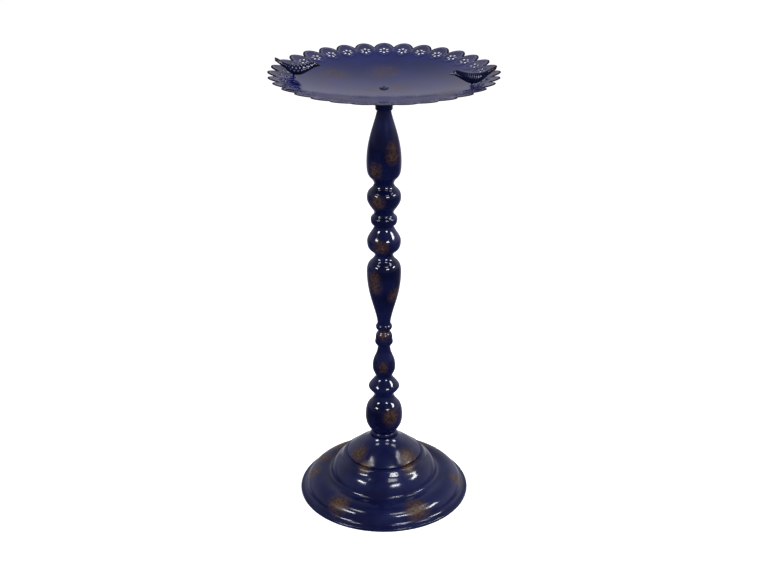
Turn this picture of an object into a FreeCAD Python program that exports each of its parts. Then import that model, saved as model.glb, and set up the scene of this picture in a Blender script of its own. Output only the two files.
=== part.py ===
"""Bird bath: a pierced, scalloped steel dish with two perching birds, on a turned-look column of
hollow spun beads strung on a two-part threaded rod, over a domed and stepped spun base.

Frame: millimetres, +Z up, origin at the centre of the ring that the base stands on.
"""
import FreeCAD, Part
import math
import os

V = FreeCAD.Vector
UP = V(0, 0, 1)

# ---- Driving dimensions (mm) -------------------------------------------------------------------

# Sheet and fit
SHEET = 1.2                  # wall of every spun steel piece
HOLE_CLEARANCE = 0.3         # radial, plain hole round a rod, bolt or nut
THREAD_CLEARANCE = 0.05      # radial, tapped bore round its thread

# Dish
TIP_RADIUS = 200.0           # outermost point of each scallop
SCALLOPS = 32
SCALLOP_DEPTH = 16.0         # from a tip in to where two scallops meet
SCALLOP_SWEEP = 65.0         # degrees of its ellipse on each side of the tip
RIM_WIDTH = 42.0             # tangent cone outside the spherical part
BOWL_RADIUS = 662.0          # spherical part of the dish, upper face
FLOWER_INSET = 12.0          # centre of each pierced flower, inside where the scallops meet
BLANK_MARGIN = 1.0           # sheet trimmed off outside the tips
PETALS = 6
PETAL_RING = 6.8             # petal centres from the flower's centre
PETAL_LONG = 3.0             # half lengths of a petal
PETAL_SHORT = 2.0

# Dish support
GASKET_THICK = 1.5
GASKET_RADIUS = 30.0
SEAT_THICK = 2.0
SEAT_RADIUS = 38.0
HUB_RADIUS = 13.0
HUB_DROP = 1.8               # the hub's flat foot below the saucer

# Threaded hardware, M8 size
ROD_RADIUS = 4.0
NUT_ACROSS = 13.0
NUT_HEIGHT = 6.5
COUPLER_ROOM = 3.1           # free space over the waist coupler
BOLT_HEAD_RADIUS = 7.0
BOLT_HEAD_EDGE = 0.9
BOLT_HEAD_HEIGHT = 1.6
BOLT_LENGTH = 20.0
BOLT_SOCKET_DEEP = 1.2
BOLT_SOCKET_ACROSS = 4.0
SEAL_RADIUS = 8.0
SEAL_THICK = 1.0
ROD_GAP = 1.5                # between the ends of two threaded pieces in one coupler
BASE_WASHER_RADIUS = 18.0
BASE_WASHER_THICK = 2.0
LOCK_WASHER_RADIUS = 7.4
LOCK_WASHER_THICK = 2.0
LOCK_WASHER_SLIT = 1.2
ROD_TAIL = 6.0               # rod showing below the base nut

# Base. The outlines of the skirt and of the dome run from their outer edge to their inner one,
# as shares of the way in and of the way up.
LAND_RADIUS = 159.2          # centre of the wired edge that the bath stands on
EDGE_BEAD = 3.3              # radius of the wired edge
LAND_FLAT = 0.1              # how far the wired edge is flattened
SKIRT_WIDTH = 86.2           # from the wired edge in to the flat top plate
PLATE_HEIGHT = 79.0          # upper face of the flat top of the base
SKIRT_OUTLINE = [
    (0.0, 0.0), (0.064, 0.028), (0.099, 0.076), (0.124, 0.159), (0.171, 0.249), (0.246, 0.325),
    (0.339, 0.376), (0.443, 0.395), (0.536, 0.392), (0.615, 0.403), (0.659, 0.456),
    (0.68, 0.533), (0.729, 0.649), (0.807, 0.771), (0.9, 0.884), (0.947, 0.97), (1.0, 1.0),
]
DOME_LEDGE = 2.5             # flat of the plate left round the dome
DOME_HEIGHT = 39.0
DOME_TOP_RADIUS = 27.0
DOME_OUTLINE = [
    (0.028, 0.0), (0.0, 0.056), (0.06, 0.144), (0.195, 0.272), (0.391, 0.451), (0.598, 0.615),
    (0.793, 0.759), (0.917, 0.882), (1.0, 1.0),
]
NECK_RING_HEIGHT = 9.5
NECK_RING_RADIUS = 25.2

# Column. Each bead stands on the one below it: name, length, radius where it ends above, its
# belly's radius and height over its foot, then for its lower and its upper half how far the curve
# flares like a vase (1) rather than a ball (0), and how round it is (0.55 being an ellipse).
COLUMN_FOOT_RADIUS = 14.2
BEADS = [
    ("lower_ball", 76.5, 18.4, (35.2, 31.5), (0.0, 0.55), (0.55, 0.75)),
    ("diamond_ring", 40.5, 15.6, (29.2, 18.8), (1.2, 0.25), (0.85, 0.25)),
    ("small_bulb", 61.0, 11.9, (21.5, 19.5), (0.7, 0.45), (0.8, 0.55)),
    ("waist_collar_lower", 17.0, 15.7, (16.8, 10.5), (1.2, 0.3), (0.3, 0.55)),
    ("waist_collar_upper", 16.5, 10.7, (15.8, 2.5), (0.2, 0.55), (0.5, 0.65)),
    ("waist_bead", 19.5, 12.4, (15.3, 7.7), (0.3, 0.25), (1.2, 0.6)),
    ("lower_baluster", 133.5, 16.4, (31.6, 101.0), (0.6, 0.45), (0.6, 0.7)),
    ("second_ball", 59.5, 17.2, (30.8, 28.5), (0.6, 0.75), (1.0, 0.3)),
    ("small_ring", 25.0, 17.8, (24.1, 10.5), (0.0, 0.7), (1.2, 0.5)),
    ("upper_ball", 54.0, 17.7, (30.8, 26.5), (0.55, 0.4), (0.75, 0.65)),
    ("upper_vase", 133.5, 12.4, (31.2, 39.0), (0.5, 0.85), (0.55, 0.45)),
]
COUPLED = ("waist_collar_lower", "waist_collar_upper")     # the waist coupler sits in these two
COLLAR_HEIGHT = 32.0
TOP_COLLAR_RADIUS = 15.4
TOP_COLLAR_ROUND = 3.0

# Birds. Stations from beak to tail: distance outwards from the leg, height of the centre line
# over the dish, half height and half width.
BIRD_STATIONS = [
    (-42.0, 18.5, 0.9, 0.9),
    (-38.0, 19.5, 2.6, 2.2),
    (-31.0, 20.3, 5.4, 5.2),
    (-21.0, 16.6, 7.2, 8.2),
    (-9.0, 13.0, 9.0, 10.0),
    (3.0, 13.0, 8.8, 9.4),
    (13.0, 16.6, 6.8, 7.2),
    (22.0, 22.8, 4.8, 5.8),
    (30.0, 28.6, 4.0, 6.0),
    (35.5, 32.0, 3.0, 5.4),
]
# Bearing of each bird's leg, clockwise from +Y, then the bearing that its tail points to and how
# far its body is moved on that way over the leg.
BIRD_PLACES = [("left_bird", -88.0, (-96.0, -5.0)), ("right_bird", 108.0, (95.0, 4.0))]
LEG_INSET = 2.0              # the legs stand this far inside the bowl's edge
LEG_RADIUS = 2.0
LEG_UP = 13.0                # into the bird, along the leg
LEG_DOWN = 9.0               # through the dish and its nut
FOOT_RADIUS = 5.0
FOOT_THICK = 1.2
FOOT_GAP = 0.05              # a flat foot rides on its edge in a hollow dish
BIRD_WASHER_RADIUS = 5.0
BIRD_WASHER_THICK = 1.0
BIRD_NUT_ACROSS = 7.0
BIRD_NUT_HEIGHT = 3.2

# ---- Sizes worked out from them ----------------------------------------------------------------

rod_hole = ROD_RADIUS + HOLE_CLEARANCE
coupler_corner = NUT_ACROSS / math.sqrt(3)
coupler_hole = coupler_corner + HOLE_CLEARANCE
pitch_half = math.pi / SCALLOPS

plate_radius = LAND_RADIUS - SKIRT_WIDTH
dome_radius = plate_radius - DOME_LEDGE
dome_top = PLATE_HEIGHT + DOME_HEIGHT
neck_ring_top = dome_top + NECK_RING_HEIGHT

bead_foot = {}
bead_head = {}
column_top = neck_ring_top
for bead_name, bead_length, *_ in BEADS:
    bead_foot[bead_name] = column_top
    column_top += bead_length
    bead_head[bead_name] = column_top
coupler_foot = bead_foot[COUPLED[0]] + SHEET
coupler_length = bead_head[COUPLED[1]] - SHEET - COUPLER_ROOM - coupler_foot
top_coupler_foot = column_top + SHEET

hub_foot = column_top + COLLAR_HEIGHT
gasket_shell = BOWL_RADIUS + SHEET
seat_shell = gasket_shell + GASKET_THICK
seat_under = seat_shell + SEAT_THICK
bowl_centre = hub_foot + HUB_DROP + seat_under
dish_floor = bowl_centre - BOWL_RADIUS
bowl_edge = TIP_RADIUS - RIM_WIDTH
bowl_angle = math.asin(bowl_edge / BOWL_RADIUS)
tip_height = bowl_centre - BOWL_RADIUS * math.cos(bowl_angle) + RIM_WIDTH * math.tan(bowl_angle)
valley_radius = TIP_RADIUS - SCALLOP_DEPTH
flower_radius = valley_radius - FLOWER_INSET
leg_circle = bowl_edge - LEG_INSET
bolt_seat = dish_floor + SEAL_THICK
bolt_end = bolt_seat - BOLT_LENGTH


# ---- Shape helpers -----------------------------------------------------------------------------

def line(a, b):
    """Straight edge between two (radius, height) points in the XZ plane."""
    return Part.makeLine(V(a[0], 0, a[1]), V(b[0], 0, b[1]))


def path(points):
    """Straight edges through a list of (radius, height) points."""
    return [line(a, b) for a, b in zip(points, points[1:])]


def spin(edges):
    """Solid of revolution about Z from edges that close a section in the XZ plane."""
    wire = Part.Wire(Part.__sortEdges__(edges))
    solid = Part.Face(wire).revolve(V(0, 0, 0), UP, 360)
    if solid.Volume < 0:
        solid.reverse()
    return solid


def ring(inner, outer, low, high):
    """Flat washer or tube."""
    return spin(path([(inner, low), (outer, low), (outer, high), (inner, high), (inner, low)]))


def hex_bar(across, low, height):
    """Hexagonal prism about Z."""
    corner = across / math.sqrt(3)
    points = [V(corner * math.cos(k * math.pi / 3), corner * math.sin(k * math.pi / 3), low)
              for k in range(6)]
    return Part.Face(Part.makePolygon(points + points[:1])).extrude(V(0, 0, height))


def hex_nut(across, bore, low, height):
    """Hexagonal nut with a plain bore."""
    return hex_bar(across, low, height).cut(Part.makeCylinder(bore, height, V(0, 0, low)))


def spherical_arc(radius, inner, outer):
    """Arc of the dish's sphere family between two distances from the axis."""
    def at(reach):
        return V(reach, 0, bowl_centre - math.sqrt(radius ** 2 - reach ** 2))
    return Part.Arc(at(inner), at((inner + outer) / 2), at(outer)).toShape()


def arc_end(radius, reach):
    """(radius, height) of a point on the dish's sphere family."""
    return (reach, bowl_centre - math.sqrt(radius ** 2 - reach ** 2))


def spherical_disc(top_shell, under_shell, inner, outer):
    """Round sheet dished to the bowl, between two shells of the sphere family."""
    return spin([
        spherical_arc(top_shell, inner, outer),
        line(arc_end(top_shell, outer), arc_end(under_shell, outer)),
        spherical_arc(under_shell, inner, outer),
        line(arc_end(under_shell, inner), arc_end(top_shell, inner)),
    ])


def outline(shares, outer, inner):
    """(radius, height) points between two given ones, from shares of the way in and up."""
    return [(outer[0] + across * (inner[0] - outer[0]), outer[1] + up * (inner[1] - outer[1]))
            for across, up in shares]


def sheet(points, wall):
    """Thin revolved sheet. Its face goes through the points, listed from the rim inwards, and its
    wall lies below that face."""
    outer = Part.BSplineCurve()
    outer.interpolate([V(r, 0, z) for r, z in points])
    first, last = outer.FirstParameter, outer.LastParameter
    steps = 4 * (len(points) - 1)
    inner_points = []
    for k in range(steps + 1):
        at = first + (last - first) * k / steps
        along = V(*outer.tangent(at)[0]).normalize()
        inner_points.append(outer.value(at) + V(-along.z, 0, along.x) * wall)
    inner = Part.BSplineCurve()
    inner.interpolate(inner_points)
    return spin([
        outer.toShape(),
        Part.makeLine(outer.value(last), inner_points[-1]),
        inner.toShape(),
        Part.makeLine(inner_points[0], outer.value(first)),
    ])


# ---- Column pieces -----------------------------------------------------------------------------

def half_bead(belly, neck, flare, roundness):
    """Curve from a bead's belly to one of its ends, both (radius, height)."""
    reach = neck[1] - belly[1]
    poles = [
        V(belly[0], 0, belly[1]),
        V(belly[0], 0, belly[1] + roundness * reach),
        V(neck[0] + roundness * (1 - flare) * (belly[0] - neck[0]), 0,
          neck[1] - roundness * flare * reach),
        V(neck[0], 0, neck[1]),
    ]
    bezier = Part.BezierCurve()
    bezier.setPoles(poles)
    return bezier.toShape()


def bead(low, belly, high, shape_low, shape_high, hole_low, hole_high):
    """Hollow spun bead with a flat end wall at each end, and a hole for the rod in each."""
    inner_low = (low[0] - SHEET, low[1] + SHEET)
    inner_belly = (belly[0] - SHEET, belly[1])
    inner_high = (high[0] - SHEET, high[1] - SHEET)
    edges = [
        half_bead(belly, low, *shape_low),
        half_bead(belly, high, *shape_high),
        half_bead(inner_belly, inner_low, *shape_low),
        half_bead(inner_belly, inner_high, *shape_high),
    ]
    edges += path([low, (hole_low, low[1]), (hole_low, inner_low[1]), inner_low])
    edges += path([high, (hole_high, high[1]), (hole_high, inner_high[1]), inner_high])
    return spin(edges)


def column():
    """The beads from the neck ring up to the collar under the dish."""
    parts = {}
    low = (COLUMN_FOOT_RADIUS, neck_ring_top)
    for name, length, end_radius, (belly_radius, belly_rise), shape_low, shape_high in BEADS:
        high = (end_radius, low[1] + length)
        belly = (belly_radius, low[1] + belly_rise)
        hole_low = coupler_hole if name == COUPLED[1] else rod_hole
        hole_high = coupler_hole if name == COUPLED[0] else rod_hole
        parts[name] = bead(low, belly, high, shape_low, shape_high, hole_low, hole_high)
        low = high
    return parts


def top_collar():
    """Plain cup that hides the upper coupler and carries the dish's seat."""
    foot, top = column_top, hub_foot
    shoulder = TOP_COLLAR_RADIUS - TOP_COLLAR_ROUND
    outside = [
        line((rod_hole, foot), (shoulder, foot)),
        Part.Arc(V(shoulder, 0, foot),
                 V(shoulder + TOP_COLLAR_ROUND * math.sin(math.pi / 4), 0,
                   foot + TOP_COLLAR_ROUND * (1 - math.cos(math.pi / 4))),
                 V(TOP_COLLAR_RADIUS, 0, foot + TOP_COLLAR_ROUND)).toShape(),
        line((TOP_COLLAR_RADIUS, foot + TOP_COLLAR_ROUND), (TOP_COLLAR_RADIUS, top)),
    ]
    inner_round = TOP_COLLAR_RADIUS - SHEET
    inside = path([
        (TOP_COLLAR_RADIUS, top), (rod_hole, top), (rod_hole, top - SHEET),
        (inner_round, top - SHEET), (inner_round, foot + TOP_COLLAR_ROUND),
        (shoulder, foot + SHEET), (rod_hole, foot + SHEET), (rod_hole, foot),
    ])
    return spin(outside + inside)


# ---- Base --------------------------------------------------------------------------------------

def base_flange():
    """Stepped spun skirt: wired edge, broad roll, hollow, middle tier and flat top plate."""
    skirt = sheet(outline(SKIRT_OUTLINE, (LAND_RADIUS, 2 * EDGE_BEAD),
                          (plate_radius, PLATE_HEIGHT)), SHEET)
    edge = Part.makeTorus(LAND_RADIUS, EDGE_BEAD, V(0, 0, EDGE_BEAD - LAND_FLAT))
    below = Part.makeCylinder(LAND_RADIUS + 2 * EDGE_BEAD, EDGE_BEAD, V(0, 0, -EDGE_BEAD))
    plate = ring(rod_hole, plate_radius, PLATE_HEIGHT - SHEET, PLATE_HEIGHT)
    return skirt.fuse([edge.cut(below), plate]).removeSplitter()


def dome_cap():
    """Domed cover over the base's plate, turned under at its edge, flat on top."""
    dome = sheet(outline(DOME_OUTLINE, (dome_radius, PLATE_HEIGHT),
                         (DOME_TOP_RADIUS, dome_top)), SHEET)
    under = Part.makeCylinder(2 * dome_radius, SHEET, V(0, 0, PLATE_HEIGHT - SHEET))
    top = ring(rod_hole, DOME_TOP_RADIUS, dome_top - SHEET, dome_top)
    return dome.cut(under).fuse(top).removeSplitter()


def neck_ring():
    """Small half-round ring between the dome and the lowest ball."""
    rounding = NECK_RING_HEIGHT / 2
    barrel = NECK_RING_RADIUS - rounding
    outside = Part.Arc(V(barrel, 0, dome_top), V(NECK_RING_RADIUS, 0, dome_top + rounding),
                       V(barrel, 0, neck_ring_top)).toShape()
    return spin([outside] + path([(barrel, neck_ring_top), (rod_hole, neck_ring_top),
                                  (rod_hole, dome_top), (barrel, dome_top)]))


# ---- Rods and hardware -------------------------------------------------------------------------

def bolt_seal():
    """Rubber washer under the dish bolt: hollow to the bowl below, flat above."""
    return spin([
        spherical_arc(BOWL_RADIUS, rod_hole, SEAL_RADIUS),
        line(arc_end(BOWL_RADIUS, SEAL_RADIUS), (SEAL_RADIUS, bolt_seat)),
        line((SEAL_RADIUS, bolt_seat), (rod_hole, bolt_seat)),
        line((rod_hole, bolt_seat), arc_end(BOWL_RADIUS, rod_hole)),
    ])


def hardware():
    """The two rods, their couplers and nut, the dish bolt and the washers."""
    tapped = ROD_RADIUS + THREAD_CLEARANCE
    washer_foot = PLATE_HEIGHT - SHEET - BASE_WASHER_THICK
    lock_foot = washer_foot - LOCK_WASHER_THICK
    nut_foot = lock_foot - NUT_HEIGHT
    rod_foot = nut_foot - ROD_TAIL
    rod_meeting = coupler_foot + coupler_length / 2
    rod_top = bolt_end - ROD_GAP
    slit = Part.makeBox(LOCK_WASHER_RADIUS, LOCK_WASHER_SLIT, LOCK_WASHER_THICK,
                        V(0, -LOCK_WASHER_SLIT / 2, lock_foot))
    head_top = bolt_seat + BOLT_HEAD_HEIGHT
    crown = BOLT_HEAD_HEIGHT - BOLT_HEAD_EDGE
    crown_radius = (BOLT_HEAD_RADIUS ** 2 + crown ** 2) / (2 * crown)
    crown_halfway = head_top - crown_radius + math.sqrt(crown_radius ** 2
                                                        - (BOLT_HEAD_RADIUS / 2) ** 2)
    head = spin([
        line((0, bolt_seat), (BOLT_HEAD_RADIUS, bolt_seat)),
        line((BOLT_HEAD_RADIUS, bolt_seat), (BOLT_HEAD_RADIUS, bolt_seat + BOLT_HEAD_EDGE)),
        Part.Arc(V(BOLT_HEAD_RADIUS, 0, bolt_seat + BOLT_HEAD_EDGE),
                 V(BOLT_HEAD_RADIUS / 2, 0, crown_halfway), V(0, 0, head_top)).toShape(),
        line((0, head_top), (0, bolt_seat)),
    ])
    socket = hex_bar(BOLT_SOCKET_ACROSS, head_top - BOLT_SOCKET_DEEP, BOLT_SOCKET_DEEP)
    shank = Part.makeCylinder(ROD_RADIUS, BOLT_LENGTH, V(0, 0, bolt_end))
    return {
        "lower_rod": Part.makeCylinder(ROD_RADIUS, rod_meeting - ROD_GAP / 2 - rod_foot,
                                       V(0, 0, rod_foot)),
        "upper_rod": Part.makeCylinder(ROD_RADIUS, rod_top - rod_meeting - ROD_GAP / 2,
                                       V(0, 0, rod_meeting + ROD_GAP / 2)),
        "waist_coupler": hex_nut(NUT_ACROSS, tapped, coupler_foot, coupler_length),
        "top_coupler": hex_nut(NUT_ACROSS, tapped, top_coupler_foot,
                               hub_foot - SHEET - HOLE_CLEARANCE - top_coupler_foot),
        "base_nut": hex_nut(NUT_ACROSS, tapped, nut_foot, NUT_HEIGHT),
        "base_washer": ring(rod_hole, BASE_WASHER_RADIUS, washer_foot,
                            washer_foot + BASE_WASHER_THICK),
        "lock_washer": ring(rod_hole, LOCK_WASHER_RADIUS, lock_foot,
                            lock_foot + LOCK_WASHER_THICK).cut(slit),
        "dish_bolt": head.fuse(shank).cut(socket).removeSplitter(),
        "bolt_seal": bolt_seal(),
    }


# ---- Dish and its support ----------------------------------------------------------------------

def scallop_outline():
    """Prism whose edge is a ring of elliptical arcs, one tip on +Y."""
    sweep = math.radians(SCALLOP_SWEEP)
    valley = valley_radius * math.cos(pitch_half)
    half_length = (TIP_RADIUS - valley) / (1 - math.cos(sweep))
    half_width = valley_radius * math.sin(pitch_half) / math.sin(sweep)
    centre = TIP_RADIUS - half_length
    edges = []
    for k in range(SCALLOPS):
        turn = 2 * math.pi * k / SCALLOPS
        out = V(math.sin(turn), math.cos(turn), 0)
        across = V(math.cos(turn), -math.sin(turn), 0)
        ellipse = Part.Ellipse(out * TIP_RADIUS, out * centre + across * half_width, out * centre)
        edges.append(Part.Arc(ellipse, -sweep, sweep).toShape())
    outline = Part.Face(Part.Wire(Part.__sortEdges__(edges)))
    return outline.extrude(UP * (tip_height + SHEET))


def petal_cutters():
    """One elliptical prism for each petal of each flower."""
    cutters = []
    for k in range(SCALLOPS):
        turn = 2 * math.pi * k / SCALLOPS
        flower = V(math.sin(turn), math.cos(turn), 0) * flower_radius
        for petal in range(PETALS):
            bearing = turn + 2 * math.pi * petal / PETALS
            out = V(math.sin(bearing), math.cos(bearing), 0)
            across = V(math.cos(bearing), -math.sin(bearing), 0)
            middle = flower + out * PETAL_RING + UP * dish_floor
            ellipse = Part.Ellipse(middle + out * PETAL_LONG, middle + across * PETAL_SHORT, middle)
            petal_face = Part.Face(Part.Wire(ellipse.toShape()))
            cutters.append(petal_face.extrude(UP * (tip_height - dish_floor)))
    return Part.makeCompound(cutters)


def dish():
    """Shallow spherical bowl with a tangent conical rim, scalloped and pierced."""
    rim_end = TIP_RADIUS + BLANK_MARGIN
    slope = math.tan(bowl_angle)
    top_edge = arc_end(BOWL_RADIUS, bowl_edge)
    under_edge = (bowl_edge * gasket_shell / BOWL_RADIUS,
                  bowl_centre - gasket_shell * math.cos(bowl_angle))
    top_out = (rim_end, top_edge[1] + slope * (rim_end - top_edge[0]))
    under_out = (rim_end, under_edge[1] + slope * (rim_end - under_edge[0]))
    blank = spin([
        spherical_arc(BOWL_RADIUS, rod_hole, top_edge[0]),
        line(top_edge, top_out),
        line(top_out, under_out),
        line(under_out, under_edge),
        spherical_arc(gasket_shell, rod_hole, under_edge[0]),
        line(arc_end(gasket_shell, rod_hole), arc_end(BOWL_RADIUS, rod_hole)),
    ])
    drill = Part.makeCylinder(LEG_RADIUS + HOLE_CLEARANCE, 2 * LEG_DOWN, V(0, 0, -LEG_DOWN))
    leg_holes = [on_leg(drill, bearing) for _, bearing, _ in BIRD_PLACES]
    return blank.common(scallop_outline()).cut(petal_cutters()).cut(leg_holes)


def dish_seat():
    """Dished saucer with a turned hub, which spreads the dish's load onto the column."""
    saucer = spherical_disc(seat_shell, seat_under, rod_hole, SEAT_RADIUS)
    hub = ring(rod_hole, HUB_RADIUS, hub_foot, bowl_centre - seat_under + SEAT_THICK / 2)
    return saucer.fuse(hub).removeSplitter()


# ---- Birds -------------------------------------------------------------------------------------

def to_bearing(shape, bearing):
    """Turn a shape built along +X (outwards) to a bearing, and lift it to the leg's foot."""
    placed = shape.copy()
    foot = arc_end(BOWL_RADIUS, leg_circle)
    placed.translate(V(foot[0], 0, foot[1]))
    placed.rotate(V(0, 0, 0), UP, 90 - bearing)
    return placed


def on_leg(shape, bearing):
    """Put a shape built about the Z axis on a bird's leg, square to the dish."""
    tilted = shape.copy()
    tilted.rotate(V(0, 0, 0), V(0, 1, 0), -math.degrees(math.asin(leg_circle / BOWL_RADIUS)))
    return to_bearing(tilted, bearing)


def bird(bearing, tail_bearing, lead):
    """Slim bird, head inwards and tail up over the rim, bored for its leg."""
    sections = []
    for out, height, half_height, half_width in BIRD_STATIONS:
        centre = V(out, 0, height)
        if half_height > half_width:
            major, minor = V(0, 0, half_height), V(0, half_width, 0)
        else:
            major, minor = V(0, half_width, 0), V(0, 0, half_height)
        ellipse = Part.Ellipse(centre + major, centre + minor, centre)
        sections.append(Part.Wire(ellipse.toShape()))
    body = Part.makeLoft(sections, True)
    body.translate(V(lead, 0, 0))
    body.rotate(V(0, 0, 0), UP, bearing - tail_bearing)
    bore = Part.makeCylinder(LEG_RADIUS + THREAD_CLEARANCE, LEG_UP)
    return to_bearing(body, bearing).cut(on_leg(bore, bearing))


def leg(bearing):
    """Threaded leg with a small round foot that sits on the dish."""
    stem = Part.makeCylinder(LEG_RADIUS, LEG_UP + LEG_DOWN - THREAD_CLEARANCE, V(0, 0, -LEG_DOWN))
    foot = Part.makeCylinder(FOOT_RADIUS, FOOT_THICK, V(0, 0, FOOT_GAP))
    return on_leg(stem.fuse(foot).removeSplitter(), bearing)


def under_dish_stack():
    """Sealing washers and nuts on the legs, below the dish."""
    washer = ring(LEG_RADIUS + HOLE_CLEARANCE, BIRD_WASHER_RADIUS,
                  -SHEET - BIRD_WASHER_THICK, -SHEET)
    nut = hex_nut(BIRD_NUT_ACROSS, LEG_RADIUS + THREAD_CLEARANCE,
                  -SHEET - BIRD_WASHER_THICK - BIRD_NUT_HEIGHT, BIRD_NUT_HEIGHT)
    bearings = [bearing for _, bearing, _ in BIRD_PLACES]
    return {
        "bird_washers": Part.makeCompound([on_leg(washer, bearing) for bearing in bearings]),
        "bird_nuts": Part.makeCompound([on_leg(nut, bearing) for bearing in bearings]),
    }


# ---- Build -------------------------------------------------------------------------------------

def build():
    parts = {
        "base_flange": base_flange(),
        "dome_cap": dome_cap(),
        "neck_ring": neck_ring(),
    }
    parts.update(column())
    parts["top_collar"] = top_collar()
    parts["dish_seat"] = dish_seat()
    parts["dish_gasket"] = spherical_disc(gasket_shell, seat_shell, rod_hole, GASKET_RADIUS)
    parts["dish"] = dish()
    parts.update(hardware())
    for name, bearing, set_of_body in BIRD_PLACES:
        parts[name] = bird(bearing, *set_of_body)
        parts[name + "_leg"] = leg(bearing)
    parts.update(under_dish_stack())
    return parts


os.makedirs("parts", exist_ok=True)
for node, shape in build().items():
    shape.exportStep("parts/" + node + ".step")
    box = shape.BoundBox
    print("%-20s %7.1f cm3  z %6.1f to %6.1f  solids %d  valid %s" % (
        node, shape.Volume / 1000, box.ZMin, box.ZMax, len(shape.Solids), shape.isValid()))
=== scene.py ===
# %% [markdown]
# # A bird bath, turned, pierced and painted
#
# This lesson builds the looks of a steel bird bath around a finished engineering model. The model
# is loaded as a fixed frame: it says where each piece is and how big it is. Every piece made here
# goes exactly where the frame says, in metres, with +Z up and the ground at zero.

# %% The frame
import math

import bmesh
import bpy
import numpy as np
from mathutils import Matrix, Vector
from mathutils.geometry import delaunay_2d_cdt


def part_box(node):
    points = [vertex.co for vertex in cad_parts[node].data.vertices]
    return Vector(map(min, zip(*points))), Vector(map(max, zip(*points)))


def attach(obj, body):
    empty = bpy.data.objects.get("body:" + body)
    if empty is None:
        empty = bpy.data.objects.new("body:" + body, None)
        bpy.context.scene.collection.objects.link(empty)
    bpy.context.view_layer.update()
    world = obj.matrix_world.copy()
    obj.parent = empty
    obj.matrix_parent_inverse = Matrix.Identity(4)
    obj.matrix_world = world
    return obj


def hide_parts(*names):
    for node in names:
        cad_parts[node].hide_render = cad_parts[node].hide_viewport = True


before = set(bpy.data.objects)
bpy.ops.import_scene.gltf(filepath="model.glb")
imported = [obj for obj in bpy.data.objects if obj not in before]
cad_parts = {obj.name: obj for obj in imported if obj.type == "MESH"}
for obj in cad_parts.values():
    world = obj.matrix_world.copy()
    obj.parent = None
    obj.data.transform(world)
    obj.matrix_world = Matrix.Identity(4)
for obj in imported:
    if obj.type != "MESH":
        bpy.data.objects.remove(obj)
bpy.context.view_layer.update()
MM = 0.001

# %% [markdown]
# Node trees get long when every sum is three lines of wiring. One small class wraps a socket and
# answers to the ordinary signs, so that a formula can be written as a formula. The same class
# serves shaders and geometry, because both know the Math node. Colours are kept out of it: they
# go through a Mix node, because a Math node would turn them grey.

# %% Formulas that build nodes
class Value:
    """A socket that can be used in arithmetic. Each sign adds one Math node to its tree."""

    def __init__(self, tree, socket):
        self.tree, self.socket = tree, socket

    def __add__(self, other):
        return self.tree.math("ADD", self, other)

    def __sub__(self, other):
        return self.tree.math("SUBTRACT", self, other)

    def __rsub__(self, other):
        return self.tree.math("SUBTRACT", other, self)

    def __mul__(self, other):
        return self.tree.math("MULTIPLY", self, other)

    def __truediv__(self, other):
        return self.tree.math("DIVIDE", self, other)

    def __gt__(self, other):
        return self.tree.math("GREATER_THAN", self, other)

    def __abs__(self):
        return self.tree.math("ABSOLUTE", self)

    def clamp(self):
        """The same value, held between 0 and 1."""
        return self.tree.node("ShaderNodeClamp", {}, {"Value": self})

    def axis(self, name):
        """The X, Y or Z of a vector."""
        return self.tree.node("ShaderNodeSeparateXYZ", {}, {"Vector": self}, name)

    def fade(self, start, end, low=0.0, high=1.0):
        """Goes from low to high while the value goes from start to end, and stays level beyond."""
        return self.tree.node("ShaderNodeMapRange", {}, {
            "Value": self, "From Min": start, "From Max": end, "To Min": low, "To Max": high})

    __radd__ = __add__
    __rmul__ = __mul__


class Tree:
    """Makes nodes in a node tree: settings first, then the values or links of the sockets."""

    def __init__(self, node_tree):
        self.node_tree = node_tree

    def feed(self, made, inputs):
        """Gives the sockets of a node their values or their links."""
        for name, value in inputs.items():
            if isinstance(value, Value):
                self.node_tree.links.new(value.socket, made.inputs[name])
            else:
                made.inputs[name].default_value = value

    def node(self, kind, settings, inputs, output=0):
        """A new node. What comes back is its first output, or the one asked for."""
        made = self.node_tree.nodes.new(kind)
        for name, value in settings.items():
            if name == "stops":
                ramp = made.color_ramp.elements
                for place, colour in value[len(ramp):]:
                    ramp.new(place)
                for element, (place, colour) in zip(ramp, value):
                    element.position, element.color = place, colour
            else:
                setattr(made, name, value)
        self.feed(made, inputs)
        return Value(self, made.outputs[output])

    def math(self, operation, *operands):
        """A Math node on one or two values."""
        return self.node("ShaderNodeMath", {"operation": operation}, dict(enumerate(operands)))

    def mix(self, share, first, second):
        """A colour between two others. A Mix node has a set of sockets for each kind of data, all
        with the same names, so the ones for colour are given by number."""
        return self.node("ShaderNodeMix", {"data_type": "RGBA"}, {0: share, 6: first, 7: second}, 2)

    def noise(self, place, fineness, detail, roughness=0.5):
        """Soft cloudy noise. Its fineness is about how many clouds fit in a metre."""
        return self.node("ShaderNodeTexNoise", {}, {
            "Vector": place, "Scale": fineness, "Detail": detail, "Roughness": roughness})

    def attribute(self, label):
        """A number that was written on the points of the mesh."""
        return self.node("ShaderNodeAttribute", {"attribute_name": label}, {}, "Fac")


def place_in_scene(name, data):
    """A new object with this mesh, lamp or camera, at the origin and unturned."""
    made = bpy.data.objects.new(name, data)
    bpy.context.scene.collection.objects.link(made)
    return made


print("formulas ready")

# %% [markdown]
# ## Camera, floor and light
#
# The camera stands a little over two metres away, above the dish, and looks down on it. It could
# be aimed with a tracking constraint, but a fixed place and one tilt are easier to repeat.

# %% Camera
CAMERA_PLACE = (0.0, -2.2235, 1.4335)
CAMERA_TILT = 24.392                          # degrees down from the horizon
CAMERA_LENS, CAMERA_FILM = 62.32, 36.0        # mm
FURTHEST_SEEN = 100.0

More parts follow.
